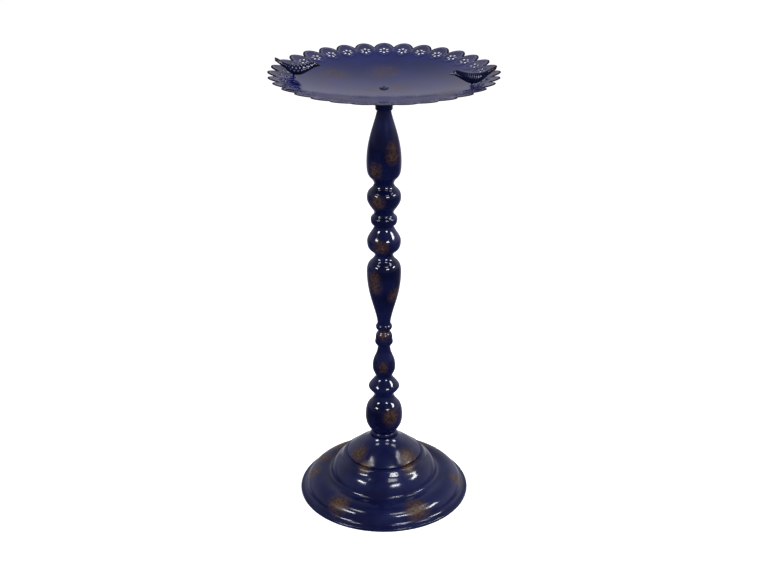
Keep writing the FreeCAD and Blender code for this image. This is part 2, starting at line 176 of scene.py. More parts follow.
camera_data = bpy.data.cameras.new("camera")
camera_data.lens, camera_data.sensor_width = CAMERA_LENS, CAMERA_FILM
camera_data.clip_end = FURTHEST_SEEN
camera = place_in_scene("camera", camera_data)
camera.location = CAMERA_PLACE
camera.rotation_euler = (math.radians(90 - CAMERA_TILT), 0, 0)
bpy.context.scene.camera = camera
bpy.context.scene.view_settings.view_transform = "Standard"
print("camera looks down", round(CAMERA_TILT, 1), "degrees")

# %% [markdown]
# The floor is one large pale square. In even light a pale floor still comes out grey, so it also
# gives off some light of its own, as a light table does. Glossy paint would mirror so bright a
# floor in the underside of every bead, so it is hidden from reflections.

# %% Floor
FLOOR_HALF = 40.0
FLOOR_WHITE, FLOOR_GLOW = 0.86, 0.75

floor_mesh = bpy.data.meshes.new("floor")
floor_mesh.from_pydata([(x * FLOOR_HALF, y * FLOOR_HALF, 0)
                        for x, y in [(-1, -1), (1, -1), (1, 1), (-1, 1)]], [], [(0, 1, 2, 3)])
floor = place_in_scene("floor", floor_mesh)
floor_paint = bpy.data.materials.new("pale floor")
floor_paint.use_nodes = True
Tree(floor_paint.node_tree).feed(floor_paint.node_tree.nodes["Principled BSDF"], {
    "Base Color": (FLOOR_WHITE, FLOOR_WHITE, FLOOR_WHITE, 1), "Roughness": 0.9,
    "Specular IOR Level": 0.1, "Emission Color": (1, 1, 1, 1), "Emission Strength": FLOOR_GLOW})
floor_mesh.materials.append(floor_paint)
floor.visible_glossy = False
print("floor laid")

# %% [markdown]
# Glossy paint looks like whatever it mirrors, so the surround is painted first. It could be a
# model of a room, but a few bands of brightness do the same: dark below the horizon, bright
# above it, dimmer overhead. It is brighter beyond the object than before it, brighter on the
# right, and a pale swept sheet shows below the horizon behind the object.

# %% The surround
SURROUND = 0.62
SWEPT_SHEET = (0.85, 0.84, 1.0, 1)
BANDS = [   # share of the way from straight down to straight up, colour
    (0.0, (0.1, 0.1, 0.14, 1)), (0.46, (0.17, 0.17, 0.22, 1)), (0.52, (0.84, 0.82, 0.97, 1)),
    (0.68, (0.9, 0.87, 1.0, 1)), (0.8, (0.56, 0.6, 0.84, 1)), (1.0, (0.24, 0.25, 0.36, 1))]

world = bpy.data.worlds.new("surround")
world.use_nodes = True
bpy.context.scene.world = world
sky = Tree(world.node_tree)
direction = sky.node("ShaderNodeTexCoord", {}, {}, "Generated")
to_right, to_back, to_top = [direction.axis(name) for name in "XYZ"]
bands = sky.node("ShaderNodeValToRGB", {"stops": BANDS}, {"Fac": to_top * 0.5 + 0.5})
beyond_object = to_back.fade(-0.6, 0.5, 0.3, 1.0)
on_the_right = to_right.fade(0.2, 0.9, 1.0, 1.5)
on_the_sheet = to_back.fade(0.45, 0.9) * to_top.fade(0.0, -0.12)
sky.feed(world.node_tree.nodes["Background"], {
    "Color": sky.mix(on_the_sheet, bands, SWEPT_SHEET),
    "Strength": beyond_object * on_the_right * SURROUND})
print("surround has", len(BANDS), "bands")

# %% [markdown]
# The lamps are soft boxes in two rows of three. On a glossy bead each one shows as a small
# highlight, so their bearings and heights decide where the highlights sit. A single large
# window would give one broad highlight instead, and make the beads look dull.

# %% Six soft lamps
LAMP_TARGET = Vector((0, 0, 0.5))
LAMP_DISTANCE = 2.4
LAMP_WIDE, LAMP_TALL = 0.7, 0.26
LAMP_BEARINGS = [-57, 28, 82]         # degrees round from the camera's side
LAMP_ROWS = [(28, 26.0), (52, 9.0)]   # degrees over the horizon, watts


def lamp(bearing, rise, watts):
    """An oblong soft lamp, so many degrees round from the camera's side and up, that faces the
    column."""
    data = bpy.data.lights.new(f"lamp_{bearing}_{rise}", "AREA")
    data.shape = "RECTANGLE"
    data.size, data.size_y = LAMP_WIDE, LAMP_TALL
    data.energy = watts
    turned, raised = math.radians(bearing), math.radians(rise)
    outward = Vector((math.sin(turned) * math.cos(raised), -math.cos(turned) * math.cos(raised),
                      math.sin(raised)))
    made = place_in_scene(data.name, data)
    made.location = LAMP_TARGET + outward * LAMP_DISTANCE
    made.rotation_euler = outward.to_track_quat("Z", "Y").to_euler()


for rise, watts in LAMP_ROWS:
    for bearing in LAMP_BEARINGS:
        lamp(bearing, rise, watts)
print(len(LAMP_ROWS) * len(LAMP_BEARINGS), "soft lamps")

# %% [markdown]
# ## Paint
#
# The finish is glossy navy enamel over steel that has been rubbed back in places: soft patches of
# rust brown and ochre, broken up by speckle. Each patch is a soft ball in the piece's own space,
# so that it can be put where a hand would have rubbed. One noise mottles the blue and another
# speckles the wear, the gloss is dulled where the paint is worn, and a fine bump gives the slight
# orange peel of sprayed paint.

# %% The paint recipe
NAVY = [(0.0035, 0.0045, 0.026, 1), (0.009, 0.012, 0.052, 1)]
# A darker copy of the navy: painted shade for the column in the dish's shadow.
SHADED_NAVY = [(0.0015, 0.0020, 0.014, 1), (0.005, 0.007, 0.038, 1)]
DISH_BLUE = [(0.0030, 0.0050, 0.050, 1), (0.005, 0.009, 0.085, 1)]
RUST = (0.020, 0.010, 0.005, 1)
OCHRE = (0.095, 0.048, 0.015, 1)
# Dark edge colour: sooty worn steel, and painted shade beside the dish's relief.
SOOT_AND_SHADE = (0.006, 0.005, 0.006, 1)
ENAMEL_IOR, SOOT_AND_SHADE_IOR = 1.38, 1.15
MOTTLE_FINENESS, MOTTLE_CONTRAST = 16.0, 3.5
SPECKLE_FINENESS, SPECKLE_CONTRAST = 230.0, 4.0
NOISE_LOW = 0.42                                     # noise under this counts as none
PATCH_FILL, PATCH_FADE = 1.2, 0.85                   # in the middle, and lost on the way out
RAGGED_FINENESS, RAGGED_DEPTH = 55.0, 1.2
PEEL_FINENESS, PEEL_STRENGTH, PEEL_HEIGHT = 260.0, 0.06, 0.0006
WEAR_SHARE, SPECKLE_GAPS = 1.25, 0.9                 # how much is worn, and lost to speckle
WEAR_RELIEF, WEAR_DULLS, MOTTLE_DULLS = 0.8, 0.22, 0.08


def new_material(name):
    """A new material, its tree, its shader, and where a point is in the piece's own space."""
    material = bpy.data.materials.new(name)
    material.use_nodes = True
    tree = Tree(material.node_tree)
    place = tree.node("ShaderNodeTexCoord", {}, {}, "Object")
    return material, tree, material.node_tree.nodes["Principled BSDF"], place


def patch_mask(tree, place, patches):
    """1 inside any of the (centre, radius) patches, 0 outside, soft and broken at the edge."""
    ragged = tree.noise(place, RAGGED_FINENESS, 6.0, 0.65)
    mask = None
    for centre, radius in patches:
        away = tree.node("ShaderNodeVectorMath", {"operation": "DISTANCE"},
                         {0: place, 1: centre}, "Value")
        inside = (PATCH_FILL - away * (PATCH_FADE / radius) + (ragged - 0.5) * RAGGED_DEPTH).clamp()
        mask = inside if mask is None else tree.math("MAXIMUM", mask, inside)
    return mask


def paint(name, blues, patches=None, strength=1.0, gloss=0.05, extra=None, bare_and_shade=None):
    """Rubbed enamel, mottled between two blues, with patches given as (centre, radius) in metres.
    A function given as extra adds the wear that belongs to one piece only, and on the dish a
    painted highlight on the crests. The function given for the edges says where the enamel is gone
    and a dull, sooty edge shows; on the dish that dark edge is also painted shade beside the
    relief."""
    material, tree, shader, place = new_material(name)
    mottle = tree.noise(place, MOTTLE_FINENESS, 5.0)
    speckle = tree.noise(place, SPECKLE_FINENESS, 5.0)
    peel = tree.noise(place, PEEL_FINENESS, 2.0)
    colour = tree.mix(((mottle - NOISE_LOW) * MOTTLE_CONTRAST).clamp(), *blues)
    relief, dullness = peel, mottle * MOTTLE_DULLS + gloss
    if patches:
        worn = tree.mix(((speckle - NOISE_LOW) * SPECKLE_CONTRAST).clamp(), RUST, OCHRE)
        mask = patch_mask(tree, place, patches) * strength
        rubbed = (mask * (WEAR_SHARE - speckle * SPECKLE_GAPS)).clamp()
        colour = tree.mix(rubbed, colour, worn)
        relief, dullness = peel + rubbed * WEAR_RELIEF, rubbed * WEAR_DULLS + dullness
    if extra:
        colour = extra(tree, place, colour)
    bump = tree.node("ShaderNodeBump", {}, {"Strength": PEEL_STRENGTH, "Distance": PEEL_HEIGHT,
                                            "Height": relief})
    tree.feed(shader, {"Base Color": colour, "Roughness": dullness, "Normal": bump,
                       "IOR": ENAMEL_IOR})
    # The dull dark shader paints worn, sooty edges, and on the dish also painted shade by the
    # relief.
    if bare_and_shade:
        dull = tree.node("ShaderNodeBsdfPrincipled", {}, {
            "Base Color": tree.mix(speckle * 0.5, SOOT_AND_SHADE, RUST), "Roughness": 0.7,
            "Normal": bump, "IOR": SOOT_AND_SHADE_IOR})
        both = tree.node("ShaderNodeMixShader", {}, {
            0: bare_and_shade(tree, place), 1: Value(tree, shader.outputs["BSDF"]), 2: dull})
        tree.feed(material.node_tree.nodes["Material Output"], {"Surface": both})
    return material


print("paint recipe ready, mottled every", round(1000 / MOTTLE_FINENESS), "mm or so")

# %% [markdown]
# The recipe is used three times below, and once more for the birds. The column gets a darker copy
# of the navy, painted shade for the shadow it stands in under the dish; the base has the strongest
# patches and the dish the clearest blue. A noise alone could place the patches, but a hand rubs
# the high and handy spots, so each is given a place and a size.

# %% Where the column and the base are rubbed
column_paint = paint("column paint", SHADED_NAVY, [
    ((0.016, -0.024, 0.702), 0.011), ((0.017, -0.026, 0.686), 0.012),
    ((-0.017, -0.026, 0.661), 0.013), ((-0.013, -0.028, 0.602), 0.013),
    ((-0.005, -0.030, 0.517), 0.013), ((-0.018, -0.027, 0.455), 0.012),
    ((-0.018, -0.025, 0.437), 0.013), ((0.020, -0.020, 0.420), 0.013),
    ((-0.001, -0.013, 0.334), 0.010), ((-0.003, -0.021, 0.270), 0.010),
    ((0.015, -0.031, 0.170), 0.016), ((0.020, 0.024, 0.690), 0.020),
    ((-0.015, 0.025, 0.600), 0.014), ((0.010, 0.029, 0.450), 0.020),
    ((-0.028, 0.015, 0.165), 0.018), ((0.012, 0.014, 0.265), 0.010),
    ((0.027, 0.012, 0.515), 0.013),
], strength=0.75)
base_paint = paint("base paint", NAVY, [
    ((-0.086, -0.109, 0.029), 0.020), ((0.061, -0.126, 0.029), 0.021),
    ((0.142, -0.020, 0.027), 0.016), ((-0.138, 0.000, 0.030), 0.016),
    ((-0.037, -0.062, 0.080), 0.012), ((0.045, -0.060, 0.078), 0.014),
    ((-0.050, -0.032, 0.093), 0.017), ((0.047, -0.041, 0.090), 0.018),
    ((0.070, 0.110, 0.035), 0.026), ((-0.090, 0.095, 0.035), 0.022),
    ((0.020, 0.060, 0.085), 0.020), ((-0.120, 0.050, 0.035), 0.018),
], strength=1.3, gloss=0.09)
print("column and base paint mixed")

# %% [markdown]
# The dish gets three more marks. Its lace has gone greyer, it carries a painted highlight along
# the crests of the embossing, and its cut edges are bare and sooty, with painted shade in the dark
# band by the relief at the outer edge. All follow the pattern of the lace and not a place in space,
# so they read numbers that will be written on the points of the sheet.

# %% The paint of the dish
LACE_GREY = (0.04, 0.036, 0.055, 1)
# Pale colour for the crests of the embossing and the pearls: a painted highlight.
CREST_HIGHLIGHT = (0.17, 0.17, 0.27, 1)


def lace_wear_and_highlight(tree, place, colour):
    """Lace rubbed a little greyer round the dish, and a painted highlight along the crests of its
    embossing and on its pearls.
    """
    rubbed = tree.noise(place, 90.0, 4.0)
    greyed = tree.mix((tree.attribute("lace") * (rubbed * 0.7 + 0.1)).clamp(), colour, LACE_GREY)
    # The pale crests and pearls are a painted highlight on the relief.
    return tree.mix((tree.attribute("crest") * (rubbed * 1.1 + 0.1)).clamp(), greyed, CREST_HIGHLIGHT)


def worn_and_shaded_edges(tree, place):
    """Where the scallops' edges are worn and sooty, and where painted shade darkens the lace beyond
    the medallion.
    """
    return (tree.attribute("cut_edge") * (tree.noise(place, 60.0, 4.0) * 1.1 + 0.5)).clamp()


dish_paint = paint("dish paint", DISH_BLUE, [
    ((0.000, 0.085, 0.808), 0.026), ((-0.090, 0.060, 0.811), 0.024),
    ((-0.022, -0.010, 0.803), 0.012), ((0.024, 0.000, 0.803), 0.014),
    ((0.110, -0.070, 0.816), 0.022), ((-0.070, -0.100, 0.815), 0.022),
], strength=0.7, gloss=0.06, extra=lace_wear_and_highlight, bare_and_shade=worn_and_shaded_edges)
print("dish paint mixed")

# %% [markdown]
# The small hardware is zinc-plated steel: a pale grey metal with the fine, cloudy spangle of the
# plating, and thread rings on the rods. Rubber is near black and dull, with a faint grain. Thread
# rings could be cut in the mesh, but a bump is enough for a rod that hardly shows.

# %% Zinc and rubber
ZINC = [(0.44, 0.45, 0.46, 1), (0.72, 0.73, 0.74, 1)]
RUBBER = [(0.012, 0.012, 0.012, 1), (0.028, 0.027, 0.026, 1)]
THREAD_PITCH = 0.00125


def zinc(name, thread_pitch=0.0):
    """Plated steel. A thread pitch in metres adds rings round the Z axis."""
    material, tree, shader, place = new_material(name)
    cloud = tree.noise(place, 180.0, 6.0)
    relief = cloud * 0.15
    if thread_pitch:
        ridges = tree.math("PINGPONG", place.axis("Z"), thread_pitch / 2)
        relief = relief + ridges * (2 / thread_pitch)
    bump = tree.node("ShaderNodeBump", {}, {"Strength": 0.7, "Distance": 0.0006,
                                            "Height": relief})
    tree.feed(shader, {"Base Color": tree.mix(cloud, *ZINC), "Roughness": cloud * 0.25 + 0.22,
                       "Normal": bump, "Metallic": 1.0})
    return material


def rubber(name):
    """Dull black rubber with a fine grain."""
    material, tree, shader, place = new_material(name)
    grain = tree.noise(place, 900.0, 2.0)
    bump = tree.node("ShaderNodeBump", {}, {"Strength": 0.4, "Distance": 0.0003, "Height": grain})
    tree.feed(shader, {"Base Color": tree.mix(grain, *RUBBER), "Roughness": grain * 0.2 + 0.6,
                       "Normal": bump})
    return material


plated, threaded, black_rubber = zinc("zinc"), zinc("zinc thread", THREAD_PITCH), rubber("rubber")
print("zinc, thread and rubber mixed")

# %% [markdown]
# Pieces whose engineered shape is already the right shape keep it. They only need their finish:
# the spun base, its dome and ring, the collar and seat under the dish, and all the hardware.
# Making them again would only risk a difference from the frame.

# %% Finish on the pieces that keep their shape
FINISHES = {
    base_paint: ["base_flange", "dome_cap", "neck_ring"],
    column_paint: ["top_collar", "dish_seat"],
    dish_paint: ["dish_bolt", "left_bird_leg", "right_bird_leg"],
    plated: ["waist_coupler", "top_coupler", "base_nut", "base_washer", "lock_washer",
             "bird_nuts"],
    threaded: ["lower_rod", "upper_rod"],
    black_rubber: ["dish_gasket", "bolt_seal", "bird_washers"],
}
for material, nodes in FINISHES.items():
    for node in nodes:
        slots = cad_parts[node].data.materials
        slots.clear()
        slots.append(material)
print(sum(len(nodes) for nodes in FINISHES.values()), "frame pieces finished")

# %% [markdown]
# ## Geometry trees
#
# Two things on this object follow a rule: the beads of the column and the ring of scallops. Each
# rule becomes a Geometry Nodes tree with named inputs. These helpers start a tree, end it and run
# it. The result is made a plain mesh at once, so that nothing has to be worked out again later.

# %% A geometry tree with named inputs
def geometry_tree(name, inputs):
    """An empty Geometry Nodes tree. Inputs are (name, socket type, value). They come back as
    values to build with and as the identifiers that a modifier's settings go by."""
    group = bpy.data.node_groups.new(name, "GeometryNodeTree")
    identifiers = {}
    for label, kind, value in inputs:
        socket = group.interface.new_socket(label, in_out="INPUT", socket_type=kind)
        if value is not None:
            socket.default_value = value
        identifiers[label] = socket.identifier
    group.interface.new_socket("Mesh", in_out="OUTPUT", socket_type="NodeSocketGeometry")
    tree = Tree(group)
    entry = group.nodes.new("NodeGroupInput")
    values = {label: Value(tree, entry.outputs[label]) for label, _, _ in inputs}
    return tree, values, identifiers


def close_tree(tree, mesh, material):
    """Ends a tree with real geometry, its material and the output."""
    real = tree.node("GeometryNodeRealizeInstances", {}, {"Geometry": mesh})
    painted = tree.node("GeometryNodeSetMaterial", {}, {"Geometry": real, "Material": material})
    tree.feed(tree.node_tree.nodes.new("NodeGroupOutput"), {"Mesh": painted})


def run_tree(name, tree, identifiers, values, start=None):
    """The plain mesh object that the tree makes with these input values."""
    holder = place_in_scene(name + "_holder", start or bpy.data.meshes.new(name + "_start"))
    modifier = holder.modifiers.new("shape", "NODES")
    modifier.node_group = tree.node_tree
    for label, value in values.items():
        modifier[identifiers[label]] = value
    holder.update_tag()
    graph = bpy.context.evaluated_depsgraph_get()
    mesh = bpy.data.meshes.new_from_object(holder.evaluated_get(graph), depsgraph=graph)
    holder.modifiers.remove(modifier)
    bpy.data.objects.remove(holder)
    mesh.name = name
    return place_in_scene(name, mesh)


print("tree helpers ready")

# %% [markdown]
# ## The column of beads
#
# Eleven hollow beads are threaded on a rod. They could each be spun from a drawn outline, but they
# all follow one rule: from the widest ring, the belly, a curve runs down to the foot and another
# up to the head, each a cubic that leaves the belly straight up or down. So one tree makes every
# bead from ten numbers. A flat grid is bent round the axis, and its two outermost rows are drawn
# in to the axis, which closes the ends.

# %% The bead tree: sizes, and how far along its curve each point is
BEAD_SIZES = ["Foot Radius", "Foot Height", "Belly Radius", "Belly Height", "Head Radius",
              "Head Height", "Lower Flare", "Lower Roundness", "Upper Flare", "Upper Roundness"]
BEAD_AROUND, BEAD_ROWS = 144, 64
OUTERMOST_ROW = 0.4999                  # of a grid that is one wide, from its middle
POLE_WELD = 0.00002
SEAM_ANGLE = math.radians(35)

bead_tree, size, bead_ids = geometry_tree(
    "spun bead", [(label, "NodeSocketFloat", 0.0) for label in BEAD_SIZES]
    + [("Around", "NodeSocketInt", BEAD_AROUND), ("Rows", "NodeSocketInt", BEAD_ROWS),
       ("Material", "NodeSocketMaterial", None)])
grid = bead_tree.node("GeometryNodeMeshGrid", {}, {
    "Size X": 1.0, "Size Y": 1.0, "Vertices X": size["Around"], "Vertices Y": size["Rows"]})
spot = bead_tree.node("GeometryNodeInputPosition", {}, {})
round_share = spot.axis("X") + 0.5
row_share = spot.axis("Y")
is_wall = 1 - (abs(row_share) > OUTERMOST_ROW)
inner_share = row_share * 2.0 * (size["Rows"] - 1) / (size["Rows"] - 3)
along = bead_tree.math("MINIMUM", bead_tree.math("MAXIMUM", inner_share, -1.0), 1.0)
upper = along > 0.0
late = abs(along)
early = 1 - late
print("bead tree starts from", BEAD_AROUND, "by", BEAD_ROWS, "points")


# %% The bead tree: the curve, bent round the axis
def by_half(lower_name, upper_name):
    """The lower half's number below the belly and the upper half's above it."""
    return size[lower_name] + upper * (size[upper_name] - size[lower_name])


flare = by_half("Lower Flare", "Upper Flare")
roundness = by_half("Lower Roundness", "Upper Roundness")
end_radius = by_half("Foot Radius", "Head Radius")
reach = by_half("Foot Height", "Head Height") - size["Belly Height"]
drop = size["Belly Radius"] - end_radius
bent_in = roundness * (1 - flare)
radius = end_radius + drop * (early * early * early + 3 * early * early * late
                              + 3 * early * late * late * bent_in)
rise = reach * (3 * early * early * late * roundness
                + 3 * early * late * late * (1 - roundness * flare) + late * late * late)
turn = round_share * (2 * math.pi)
bent_place = bead_tree.node("ShaderNodeCombineXYZ", {}, {
    "X": radius * is_wall * bead_tree.math("COSINE", turn),
    "Y": radius * is_wall * bead_tree.math("SINE", turn),
    "Z": size["Belly Height"] + rise})
bent = bead_tree.node("GeometryNodeSetPosition", {}, {"Geometry": grid, "Position": bent_place})
closed = bead_tree.node("GeometryNodeMergeByDistance", {}, {"Geometry": bent,
                                                            "Distance": POLE_WELD})
smooth = bead_tree.node("GeometryNodeSetShadeSmooth", {"domain": "FACE"},
                        {"Geometry": closed, "Shade Smooth": True})
edge_angle = bead_tree.node("GeometryNodeInputMeshEdgeAngle", {}, {}, "Unsigned Angle")
creased = bead_tree.node("GeometryNodeSetShadeSmooth", {"domain": "EDGE"},
                         {"Geometry": smooth, "Selection": edge_angle > SEAM_ANGLE,
                          "Shade Smooth": False})
close_tree(bead_tree, creased, size["Material"])
print("bead tree has", len(bead_tree.node_tree.nodes), "nodes")

# %% [markdown]
# Now the numbers. Each bead stands on the head of the one below, so only its belly and its head
# are listed. A bigger roundness holds the curve out longer, and a bigger flare turns it outwards
# again at the end, as the neck of a vase does.

# %% Eleven beads from ten numbers each
COLUMN_FOOT = (14.2, 127.5)
BEADS = [   # name, belly (radius, height), head (radius, height), lower shape, upper shape
    ("lower_ball", (35.2, 159.0), (18.4, 204.0), (0.0, 0.55), (0.55, 0.75)),
    ("diamond_ring", (29.2, 222.8), (15.6, 244.5), (1.2, 0.25), (0.85, 0.25)),
    ("small_bulb", (21.5, 264.0), (11.9, 305.5), (0.7, 0.45), (0.8, 0.55)),
    ("waist_collar_lower", (16.8, 316.0), (15.7, 322.5), (1.2, 0.3), (0.3, 0.55)),
    ("waist_collar_upper", (15.8, 325.0), (10.7, 339.0), (0.2, 0.55), (0.5, 0.65)),
    ("waist_bead", (15.3, 346.7), (12.4, 358.5), (0.3, 0.25), (1.2, 0.6)),
    ("lower_baluster", (31.6, 459.5), (16.4, 492.0), (0.6, 0.45), (0.6, 0.7)),
    ("second_ball", (30.8, 520.5), (17.2, 551.5), (0.6, 0.75), (1.0, 0.3)),
    ("small_ring", (24.1, 562.0), (17.8, 576.5), (0.0, 0.7), (1.2, 0.5)),
    ("upper_ball", (30.8, 603.0), (17.7, 630.5), (0.55, 0.4), (0.75, 0.65)),
    ("upper_vase", (31.2, 669.5), (12.4, 764.0), (0.5, 0.85), (0.55, 0.45)),
]
foot = COLUMN_FOOT
for node, belly, head, lower_shape, upper_shape in BEADS:
    lengths = [n * MM for n in (*foot, *belly, *head)]
    values = dict(zip(BEAD_SIZES, lengths + [*lower_shape, *upper_shape]))
    bead = run_tree("bead_" + node, bead_tree, bead_ids, {**values, "Material": column_paint})
    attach(bead, "root")
    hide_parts(node)
    foot = head
    low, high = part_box(node)
    print(bead.name, len(bead.data.polygons), "faces, frame", round(low.z, 4), round(high.z, 4))

# %% [markdown]
# ## The dish
#
# The dish is one sheet, pressed into a shallow bowl with a sloping rim, cut into thirty-two round
# scallops, pierced with a six-petalled flower in each, and embossed with an oval medallion round
# every flower. It could be one big mesh with holes cut by booleans, which is slow and leaves
# ragged edges. But all of it repeats, so only one thirty-second is drawn: the outline and the
# holes of one sector are cut into triangles, and each point is lifted to the bowl, plus the
# height of the embossing there. A Geometry Nodes ring then turns thirty-two copies round.

# %% The bowl's own shape
SCALLOPS = 32
HALF_PITCH = math.pi / SCALLOPS
SCALLOP_DEPTH = 16.0
SWEEP = math.radians(65)
BOWL_RADIUS, BOWL_EDGE = 662.0, 158.0
SHEET = 1.2
dish_low, dish_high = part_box("dish")
TIP_RADIUS, TIP_HEIGHT = dish_high.y / MM, dish_high.z / MM
BOWL_ANGLE = math.asin(BOWL_EDGE / BOWL_RADIUS)
EDGE_HEIGHT = TIP_HEIGHT - (TIP_RADIUS - BOWL_EDGE) * math.tan(BOWL_ANGLE)
BOWL_CENTRE = EDGE_HEIGHT + BOWL_RADIUS * math.cos(BOWL_ANGLE)
print("bowl floor at", round(BOWL_CENTRE - BOWL_RADIUS, 2), "mm, tips at", round(TIP_HEIGHT, 2))


def bowl_height(out):
    """Height of the bare sheet at a distance from the axis, in mm."""
    bowl = BOWL_CENTRE - np.sqrt(BOWL_RADIUS ** 2 - np.minimum(out, BOWL_EDGE) ** 2)
    return bowl + np.maximum(out - BOWL_EDGE, 0) * math.tan(BOWL_ANGLE)


# %% One scallop's outline and flower
VALLEY_RADIUS = TIP_RADIUS - SCALLOP_DEPTH
VALLEY = VALLEY_RADIUS * math.cos(HALF_PITCH)
EDGE_LEAN = SHEET * math.sin(BOWL_ANGLE)      # the sheet's lower face reaches further out
SCALLOP_LENGTH = (TIP_RADIUS - EDGE_LEAN - VALLEY) / (1 - math.cos(SWEEP))
SCALLOP_CENTRE = TIP_RADIUS - EDGE_LEAN - SCALLOP_LENGTH
SCALLOP_HALF = VALLEY_RADIUS * math.sin(HALF_PITCH) / math.sin(SWEEP)
PETALS, PETAL_RING, PETAL_LONG, PETAL_SHORT = 6, 6.8, 3.0, 2.0
FLOWER = np.array((0.0, 172.0))
FLOWER_PETALS = []      # middle, outward direction, sideways direction
for turn in np.arange(PETALS) * 2 * math.pi / PETALS:
    out = np.array([math.sin(turn), math.cos(turn)])
    FLOWER_PETALS.append((FLOWER + out * PETAL_RING, out, np.array([out[1], -out[0]])))


def oval(middle, half_across, half_out, turns):
    """Points on an oval of the sector, at angles from its outermost point."""
    return np.stack([half_across * np.sin(turns), middle + half_out * np.cos(turns)], 1)


def scallop(count):
    """Points on the scallop's edge, from one valley to the next."""
    return oval(SCALLOP_CENTRE, SCALLOP_HALF, SCALLOP_LENGTH, np.linspace(-SWEEP, SWEEP, count))


def petal(middle, out, across, count):
    """Points round the edge of one petal."""
    turns = np.arange(count)[:, None] * 2 * math.pi / count
    return middle + np.cos(turns) * PETAL_LONG * out + np.sin(turns) * PETAL_SHORT * across


print("a scallop is", round(2 * SCALLOP_HALF, 1), "mm wide")

# %% [markdown]
# The embossing is real relief, not a bump: an oval ridge round each flower, a thin lip round each
# petal, a boss in the flower's middle, and two pearls between neighbouring scallops. Each is a
# smooth ridge over a distance, so one bell-shaped curve makes them all.

# %% The embossing
MEDALLION_MIDDLE, MEDALLION_ACROSS, MEDALLION_OUT = 175.6, 14.2, 19.8
MEDALLION_RISE, MEDALLION_WIDTH = 0.75, 1.0
MEDALLION = oval(MEDALLION_MIDDLE, MEDALLION_ACROSS, MEDALLION_OUT,
                 np.linspace(-math.pi, math.pi, 361))
LIP_RISE, LIP_WIDTH, LIP_SET_BACK, LIP_POINTS = 0.3, 0.55, 0.6, 60
BOSS_RISE, BOSS_WIDTH = 0.5, 1.8
PEARL_RISE, PEARL_ACROSS, PEARL_OUT = 0.55, 1.5, 1.7
PEARL_RADII = (172.0, 178.0)


def from_axis(points):
    """Distance of each point from the dish's axis."""
    return np.hypot(points[:, 0], points[:, 1])


def from_middle_line(points):
    """Angle of each point to either side of the sector's middle line."""
    return np.abs(np.arctan2(points[:, 0], points[:, 1]))


def distance_to(points, line):
    """Distance from each point to the nearest of a line's points."""
    return np.sqrt(((points[:, None, :] - line[None, :, :]) ** 2).sum(2)).min(1)


def ridge(distance, width, power=2):
    """A smooth ridge of height one. A higher power flattens its top and steepens its sides."""
    return np.exp(-(distance / width) ** power)


def pearls(points):
    """Two small round studs between each scallop and the next, of height one."""
    out = from_axis(points)
    sideways = np.abs(from_middle_line(points) - HALF_PITCH) * out
    return ridge(sideways, PEARL_ACROSS) * sum(ridge(out - r, PEARL_OUT) for r in PEARL_RADII)


def embossing(points):
    """Height of the pressed pattern at points of one sector, in mm."""
    relief = MEDALLION_RISE * ridge(distance_to(points, MEDALLION), MEDALLION_WIDTH)
    relief += BOSS_RISE * ridge(from_axis(points - FLOWER), BOSS_WIDTH)
    for one in FLOWER_PETALS:
        around = distance_to(points, petal(*one, LIP_POINTS))
        relief = np.maximum(relief, LIP_RISE * ridge(around - LIP_SET_BACK, LIP_WIDTH))
    return relief + PEARL_RISE * pearls(points)


print("embossing stands up to", MEDALLION_RISE, "mm")

# %% [markdown]
# One sector is a flat drawing first: its outline, six petals, and a cloud of inner points that is
# coarse in the plain bowl and fine in the lace. A triangulation that must keep the drawn lines
# joins them all, and the triangles inside the petals or outside the scallop are left out.

# %% The sector's outline
FINE = 1.35
RIM_START = 157.4
BOWL_RINGS = [4.3, 7.0, 11.0, 17.0, 25.0, 35.0, 47.0, 60.0, 74.0, 88.0, 101.0, 113.0, 124.0,
              133.0, 141.0, 147.5, 152.5, 156.0]
rim_rings = list(np.arange(RIM_START, VALLEY_RADIUS - 0.6, FINE))
side = np.array([(r * math.sin(HALF_PITCH), r * math.cos(HALF_PITCH))
                 for r in [*BOWL_RINGS, *rim_rings, VALLEY_RADIUS]])
mirrored = side * (-1, 1)
outline = np.concatenate([side[:-1], scallop(41)[::-1], mirrored[:-1][::-1]])
print("sector outline has", len(outline), "points")


def in_scallop(points):
    """Which points lie inside the scallop's oval or inwards of it."""
    in_oval = ((points[:, 0] / SCALLOP_HALF) ** 2
               + ((points[:, 1] - SCALLOP_CENTRE) / SCALLOP_LENGTH) ** 2) < 1
    return in_oval | (points[:, 1] < VALLEY)


def in_petal(points, middle, out, across):
    """Which points lie in a petal's hole."""
    offset = points - middle
    return ((offset @ out / PETAL_LONG) ** 2 + (offset @ across / PETAL_SHORT) ** 2) < 0.999


# %% The sector's inner points
WIDEST_STEP = 6.0
ROW_STEP = FINE * 0.87       # rows of a grid of even triangles
EDGE_CLEARANCE, PETAL_CLEARANCE = 0.5 * FINE, 0.5


def well_inside(points):
    """Which points are clear of the sector's edges and of the petals."""
    clear = distance_to(points, np.concatenate([outline, scallop(160)])) > EDGE_CLEARANCE
    clear &= from_middle_line(points) < HALF_PITCH
    clear &= in_scallop(points)
    for one in FLOWER_PETALS:
        clear &= distance_to(points, petal(*one, 40)) > PETAL_CLEARANCE
        clear &= ~in_petal(points, *one)
    return clear


inner = []
for before, r in zip(BOWL_RINGS, BOWL_RINGS[1:]):
    count = max(1, round(2 * HALF_PITCH * r / min(r - before, WIDEST_STEP)))
    inner += [(r * math.sin(a), r * math.cos(a))
              for a in np.linspace(-HALF_PITCH, HALF_PITCH, count + 1)[1:-1]]
inner += [(x + (k % 2) * FINE / 2, y)
          for k, y in enumerate(np.arange(RIM_START, TIP_RADIUS, ROW_STEP))
          for x in np.arange(-13 * FINE, 13 * FINE, FINE)]
inner = np.array(inner)
inner = inner[well_inside(inner)]
print("sector has", len(inner), "inner points")

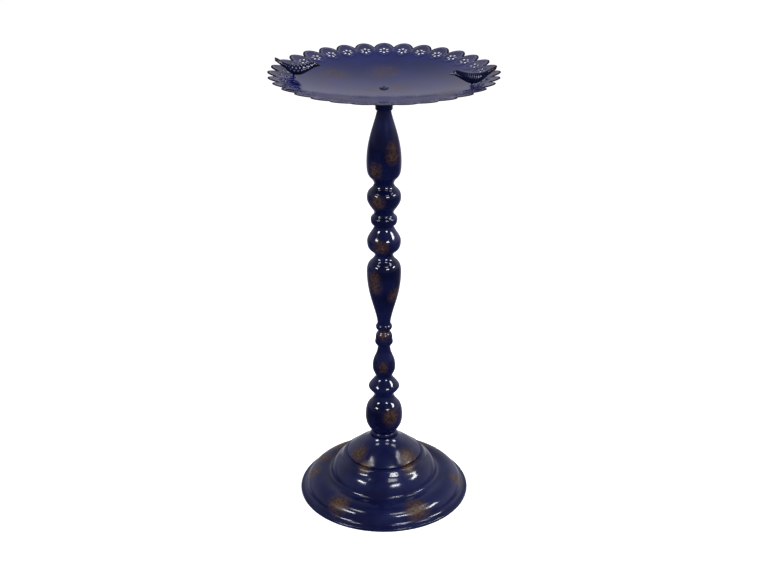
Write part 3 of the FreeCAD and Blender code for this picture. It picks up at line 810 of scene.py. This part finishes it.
# %% The sector cut into triangles
petal_edges = [petal(*one, 14) for one in FLOWER_PETALS]
flat = np.concatenate([outline, *petal_edges, inner])
lines, start = [], 0
for points in [outline, *petal_edges]:
    loop = list(range(start, start + len(points)))
    lines += zip(loop, loop[1:] + loop[:1])
    start += len(points)
cut_points, _, cut_faces, *_ = delaunay_2d_cdt([Vector(p) for p in flat], lines, [], 0, 1e-6)
cut_points = np.array(cut_points)
middles = np.array([cut_points[list(face)].mean(0) for face in cut_faces])
kept = (from_middle_line(middles) < HALF_PITCH - 1e-6) & in_scallop(middles)
kept &= from_axis(middles) > BOWL_RINGS[0] * math.cos(HALF_PITCH)
for one in FLOWER_PETALS:
    kept &= ~in_petal(middles, *one)
print("triangles kept:", int(kept.sum()), "of", len(kept))


# %% The sector as a mesh
def even_mesh(name, points, faces):
    """A mesh from points in mm, with its faces all turned the same way and no loose points."""
    mesh = bpy.data.meshes.new(name)
    mesh.from_pydata([tuple(point) for point in np.array(points) * MM], [], faces)
    build = bmesh.new()
    build.from_mesh(mesh)
    bmesh.ops.recalc_face_normals(build, faces=build.faces)
    loose = [point for point in build.verts if not point.link_faces]
    bmesh.ops.delete(build, geom=loose, context="VERTS")
    build.to_mesh(mesh)
    build.free()
    return mesh


def write_on_points(mesh, labelled):
    """Writes numbers on a mesh's points, for its material to read."""
    for label, amounts in labelled.items():
        attribute = mesh.attributes.new(label, "FLOAT", "POINT")
        attribute.data.foreach_set("value", amounts.ravel().astype(np.float32))


heights = bowl_height(from_axis(cut_points)) + embossing(cut_points)
sector = even_mesh("sector", np.column_stack([cut_points, heights]),
                   [face for face, keep in zip(cut_faces, kept) if keep])
if sum(face.normal.z for face in sector.polygons) < 0:
    sector.flip_normals()
print("one sector has", len(sector.polygons), "triangles")

# %% [markdown]
# The wear of the lace, its painted highlight and its painted shade are written on the points now,
# while the distances are at hand: how near a point is to the cut edge, to the crest of the
# medallion or a pearl, and how far out in the lace.

# %% Wear, painted highlight and painted shade written on the sector
EDGE_WEAR_AND_SHADE_WIDTH, NOTCH_WEAR_AND_SHADE, NOTCH_CONTRAST = 2.4, 0.85, 9.0
CREST_WIDTH = 1.1
CREST_FROM, CREST_OVER = 176.0, 8.0
LACE_FROM, LACE_OVER = 160.0, 16.0

lace_points = np.array([point.co[:2] for point in sector.vertices]) / MM
out_by = from_axis(lace_points)
past_medallion = np.hypot(lace_points[:, 0] / MEDALLION_ACROSS,
                          (lace_points[:, 1] - MEDALLION_MIDDLE) / MEDALLION_OUT) - 1
# Edge and notch darkening: worn edges, and painted shade in the dark band by the relief.
in_notch = np.clip(past_medallion * NOTCH_CONTRAST, 0, 1) * (out_by > VALLEY_RADIUS)
near_edge = ridge(distance_to(lace_points, scallop(240)), EDGE_WEAR_AND_SHADE_WIDTH)
# The crest and pearl values mark where a painted highlight goes.
on_crest = (ridge(distance_to(lace_points, MEDALLION), CREST_WIDTH)
            * np.clip((out_by - CREST_FROM) / CREST_OVER, 0, 1))
write_on_points(sector, {"cut_edge": np.maximum(near_edge, NOTCH_WEAR_AND_SHADE * in_notch),
                         "crest": np.maximum(on_crest, pearls(lace_points)),
                         "lace": np.clip((out_by - LACE_FROM) / LACE_OVER, 0, 1)})
print("wear written on", len(lace_points), "points")

# %% [markdown]
# A ring of points, all on the axis, carries one copy of the sector each, and each copy is turned
# by its number. Their edges meet exactly, so merging near points welds them into one sheet.

# %% Thirty-two sectors welded into one sheet
WELD = 0.00003
ring_tree, ring_in, ring_ids = geometry_tree("ring of sectors", [
    ("Sector", "NodeSocketGeometry", None), ("Count", "NodeSocketInt", SCALLOPS),
    ("Weld", "NodeSocketFloat", WELD), ("Material", "NodeSocketMaterial", None)])
spots = ring_tree.node("GeometryNodePoints", {}, {"Count": ring_in["Count"]})
index = ring_tree.node("GeometryNodeInputIndex", {}, {})
turned = ring_tree.node("ShaderNodeCombineXYZ", {},
                        {"Z": index * (2 * math.pi) / ring_in["Count"]})
copies = ring_tree.node("GeometryNodeInstanceOnPoints", {}, {
    "Points": spots, "Instance": ring_in["Sector"], "Rotation": turned})
joined = ring_tree.node("GeometryNodeRealizeInstances", {}, {"Geometry": copies})
welded = ring_tree.node("GeometryNodeMergeByDistance", {}, {"Geometry": joined,
                                                            "Distance": ring_in["Weld"]})
smooth_sheet = ring_tree.node("GeometryNodeSetShadeSmooth", {"domain": "FACE"},
                              {"Geometry": welded, "Shade Smooth": True})
close_tree(ring_tree, smooth_sheet, ring_in["Material"])
dish = run_tree("pierced_dish", ring_tree, ring_ids,
                {"Count": SCALLOPS, "Weld": WELD, "Material": dish_paint}, start=sector)
print("sheet has", len(dish.data.polygons), "triangles before it gets its thickness")

# %% [markdown]
# So far the sheet has no thickness. A Solidify modifier gives it one, downwards from the drawn
# face, and closes every cut edge with a narrow wall, round each petal as well.

# %% The sheet's thickness
thick = dish.modifiers.new("wall", "SOLIDIFY")
thick.thickness = SHEET * MM
thick.offset = -1.0
thick.use_even_offset = True
thick.use_rim = True
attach(dish, "root")
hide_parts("dish")
print("dish is", SHEET, "mm thick")

# %% [markdown]
# ## The birds
#
# Two slim birds perch inside the rim, heads inwards and tails up. They could be sculpted, but a
# skin over a few oval stations from beak to tail gives so small a bird its shape. A smooth curve
# is run through the stations, and the wing is raised out of the same skin, with its feather ribs
# or dots, so that nothing is merely stuck on.

# %% The bird's body
BIRD_STATIONS = np.array([   # out from the leg, height, half height, half width
    (-42.0, 18.5, 0.9, 0.9), (-38.0, 19.5, 2.6, 2.2), (-31.0, 20.3, 5.4, 5.2),
    (-21.0, 16.6, 7.2, 8.2), (-9.0, 13.0, 9.0, 10.0), (3.0, 13.0, 8.8, 9.4),
    (13.0, 16.6, 6.8, 7.2), (22.0, 22.8, 4.8, 5.8), (30.0, 28.6, 4.0, 6.0),
    (35.5, 32.0, 3.0, 5.4)])
AROUND, STEPS = 96, 12


def smooth_through(rows, steps):
    """More rows, on a smooth curve that goes through the given ones."""
    padded = np.concatenate([rows[:1], rows, rows[-1:]])
    made = []
    for a, b, c, d in zip(padded, padded[1:], padded[2:], padded[3:]):
        for t in np.arange(steps) / steps:
            made.append(0.5 * (2 * b + (c - a) * t + (2 * a - 5 * b + 4 * c - d) * t ** 2
                               + (3 * b - a - 3 * c + d) * t ** 3))
    return np.array(made + [rows[-1]])


def tube_faces(rings, around):
    """Faces of a tube of rings of points, closed at both ends."""
    faces = [(i * around + k, (i + 1) * around + k, (i + 1) * around + (k + 1) % around,
              i * around + (k + 1) % around) for i in range(rings - 1) for k in range(around)]
    last = (rings - 1) * around
    return faces + [tuple(range(around)), tuple(range(last, last + around))[::-1]]


body_rows = smooth_through(BIRD_STATIONS, STEPS)
print("bird has", len(body_rows), "rings of", AROUND, "points")

# %% [markdown]
# The relief of a bird is drawn on its skin by two measures: how far out from the leg a point is,
# in mm, and its angle from the top of the back. The left bird's wing is dotted, the right one's
# is ribbed. Both share the wing's swell, the eye and the line of the beak.

# %% The bird's wing, feathers, eye and beak
WING_RISE, FEATHER_RISE, EYE_RISE, BEAK_LINE_DEPTH = 0.7, 0.45, 0.7, 0.25
BEAK_TIP, BEAK_FADE = -42, 3
WING = (-3, 17, 62, 34)      # how far out and its reach, then its angle and reach in degrees
DOTTED = (-9, 24, 60, 45)
EYE = (-32.5, 1.2, 62, 12)
BEAK_LINE = (-39, 3.5, 96, 6)
DOT_ROWS = 6
RIB_SHARE, RIB_CLOSENESS, RIB_SLANT = 0.6, 1.8, 0.03
TAIL_WEAR_FROM, TAIL_WEAR_OVER = 22, 8
BEAK_WEAR_FROM, BEAK_WEAR_OVER = -36, 5


def spot_on_skin(out, side_angle, spot, power=2):
    """A smooth spot of height one on the skin."""
    middle_out, reach_out, middle_angle, reach_angle = spot
    return (ridge(out - middle_out, reach_out, power)
            * ridge(side_angle - middle_angle, reach_angle, power))


def bird_relief(out, side_angle, dotted):
    """Height of the relief in mm, and how far each point is pale feather or eye."""
    wing = spot_on_skin(out, side_angle - out, WING, 4)
    if dotted:
        dots = np.cos(out) * np.cos(np.radians(side_angle * DOT_ROWS))
        feather = np.clip(dots, 0, 1) * spot_on_skin(out, side_angle, DOTTED, 4)
    else:
        ribs = np.cos(out * RIB_CLOSENESS + side_angle * RIB_SLANT)
        feather = RIB_SHARE * np.clip(ribs, 0, 1) * wing
    eye = spot_on_skin(out, side_angle, EYE)
    beak_line = spot_on_skin(out, side_angle, BEAK_LINE)
    relief = (WING_RISE * wing + FEATHER_RISE * feather + EYE_RISE * eye
              - BEAK_LINE_DEPTH * beak_line)
    return relief * np.clip((out - BEAK_TIP) / BEAK_FADE, 0, 1), feather + eye


def bird_skin(dotted):
    """Out, across and up from the foot of the leg in mm, ring by ring, and the wear."""
    turns = np.arange(AROUND) * 2 * math.pi / AROUND
    out, turn = np.meshgrid(body_rows[:, 0], turns, indexing="ij")
    side_angle = np.degrees(np.arccos(np.clip(np.cos(turn), -1, 1)))
    relief, feather = bird_relief(out, side_angle, dotted)
    across = (body_rows[:, 3][:, None] + relief) * np.sin(turn)
    up = body_rows[:, 1][:, None] + (body_rows[:, 2][:, None] + relief) * np.cos(turn)
    tip = (np.clip((out - TAIL_WEAR_FROM) / TAIL_WEAR_OVER, 0, 1)
           + np.clip((BEAK_WEAR_FROM - out) / BEAK_WEAR_OVER, 0, 1))
    return out, across, up, {"feather": feather, "tip": tip}


print("bird relief ready")

# %% [markdown]
# The birds are the darkest blue, with nothing rubbed but what stands out: the feathers and the
# eye are pale, and the beak and the tip of the tail are brown.

# %% The paint of the birds
BIRD_DARK, DARKENED = (0.0015, 0.0015, 0.010, 1), 0.6
BEAK_BROWN = (0.014, 0.006, 0.004, 1)
FEATHER_PALE, FEATHER_LOW, FEATHER_CONTRAST = (0.34, 0.34, 0.48, 1), 0.3, 1.5


def feather_wear(tree, place, colour):
    """Feathers and eye rubbed pale, beak and tail tip rubbed brown."""
    rubbed = tree.noise(place, 160.0, 4.0)
    dark = tree.mix(DARKENED, colour, BIRD_DARK)
    browned = tree.mix((tree.attribute("tip") * (rubbed + 0.6)).clamp(), dark, BEAK_BROWN)
    feather = tree.attribute("feather") - FEATHER_LOW
    pale = (feather * (rubbed + 0.4) * FEATHER_CONTRAST).clamp()
    return tree.mix(pale, browned, FEATHER_PALE)


bird_paint = paint("bird paint", NAVY, gloss=0.06, extra=feather_wear)
print("bird paint mixed")

# %% [markdown]
# The skin is still in the bird's own space. The object itself could be turned and moved to its
# leg, but a pattern that reads Object coordinates would turn with it, so the points are placed
# instead and the object stays at the origin.

# %% Two birds on their legs
LEG_CIRCLE = 156.0
BIRDS = [   # piece, frame piece, bearing of leg, bearing of tail, lead over the leg, dotted wing
    ("perching_bird_left", "left_bird", -88.0, -96.0, -5.0, True),
    ("perching_bird_right", "right_bird", 108.0, 95.0, 4.0, False)]


def bird_piece(name, node, bearing, tail_bearing, lead, dotted):
    """A perching bird. Its leg and its tail each have a bearing, clockwise from +Y, and its body
    is moved outwards over the leg by the lead in mm."""
    out, across, up, wear = bird_skin(dotted)
    leg, swing = math.radians(bearing), math.radians(90 - tail_bearing)
    x = LEG_CIRCLE * math.sin(leg) + (out + lead) * math.cos(swing) - across * math.sin(swing)
    y = LEG_CIRCLE * math.cos(leg) + (out + lead) * math.sin(swing) + across * math.cos(swing)
    z = up + float(bowl_height(np.array(LEG_CIRCLE)))
    mesh = even_mesh(name, np.stack([x, y, z], 2).reshape(-1, 3), tube_faces(*out.shape))
    mesh.shade_smooth()
    write_on_points(mesh, wear)
    mesh.materials.append(bird_paint)
    piece = place_in_scene(name, mesh)
    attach(piece, "root")
    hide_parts(node)
    return piece


for row in BIRDS:
    bird = bird_piece(*row)
    print(bird.name, len(bird.data.polygons), "faces")
